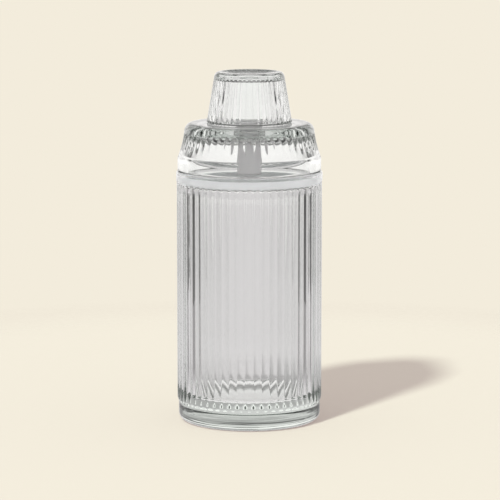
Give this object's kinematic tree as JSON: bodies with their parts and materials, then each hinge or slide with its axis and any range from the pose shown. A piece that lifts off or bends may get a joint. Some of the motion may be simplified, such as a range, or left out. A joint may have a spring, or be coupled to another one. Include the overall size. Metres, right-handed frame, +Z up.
{
  "type": "ribbed glass cocktail shaker",
  "caption": "Ribbed clear-glass cocktail shaker: heavy-based beaker, lift-off shoulder lid with a silicone seal ring, and a ribbed cap whose frosted peg plugs the lid's pour hole.",
  "frame": {"origin": "centre of the foot, on the surface that the shaker stands on", "axes": "+Z up along the shaker's axis, towards the cap"},
  "size_m": [0.0906, 0.0906, 0.2173],
  "materials": {
    "body_glass": "clear pressed glass, convex ribs, fire-polished",
    "gasket_silicone": "translucent frosted silicone",
    "lid_glass": "clear pressed glass, ribs fading out towards the skirt",
    "sleeve_silicone": "translucent frosted silicone",
    "cap_glass": "clear pressed glass, convex ribs, fire-polished"
  },
  "bodies": {
    "beaker": {"body_glass": "body_glass"},
    "lid": {"lid_glass": "lid_glass", "lid_gasket": "gasket_silicone"},
    "cap": {"cap_glass": "cap_glass", "stopper_sleeve": "sleeve_silicone"}
  },
  "joints": [
    {"name": "lid_lift", "type": "slide", "parent": "beaker", "child": "lid", "axis": [0, 0, 1], "range_m": [0, 0.12]},
    {"name": "cap_lift", "type": "slide", "parent": "lid", "child": "cap", "axis": [0, 0, 1], "range_m": [0, 0.06]}
  ]
}
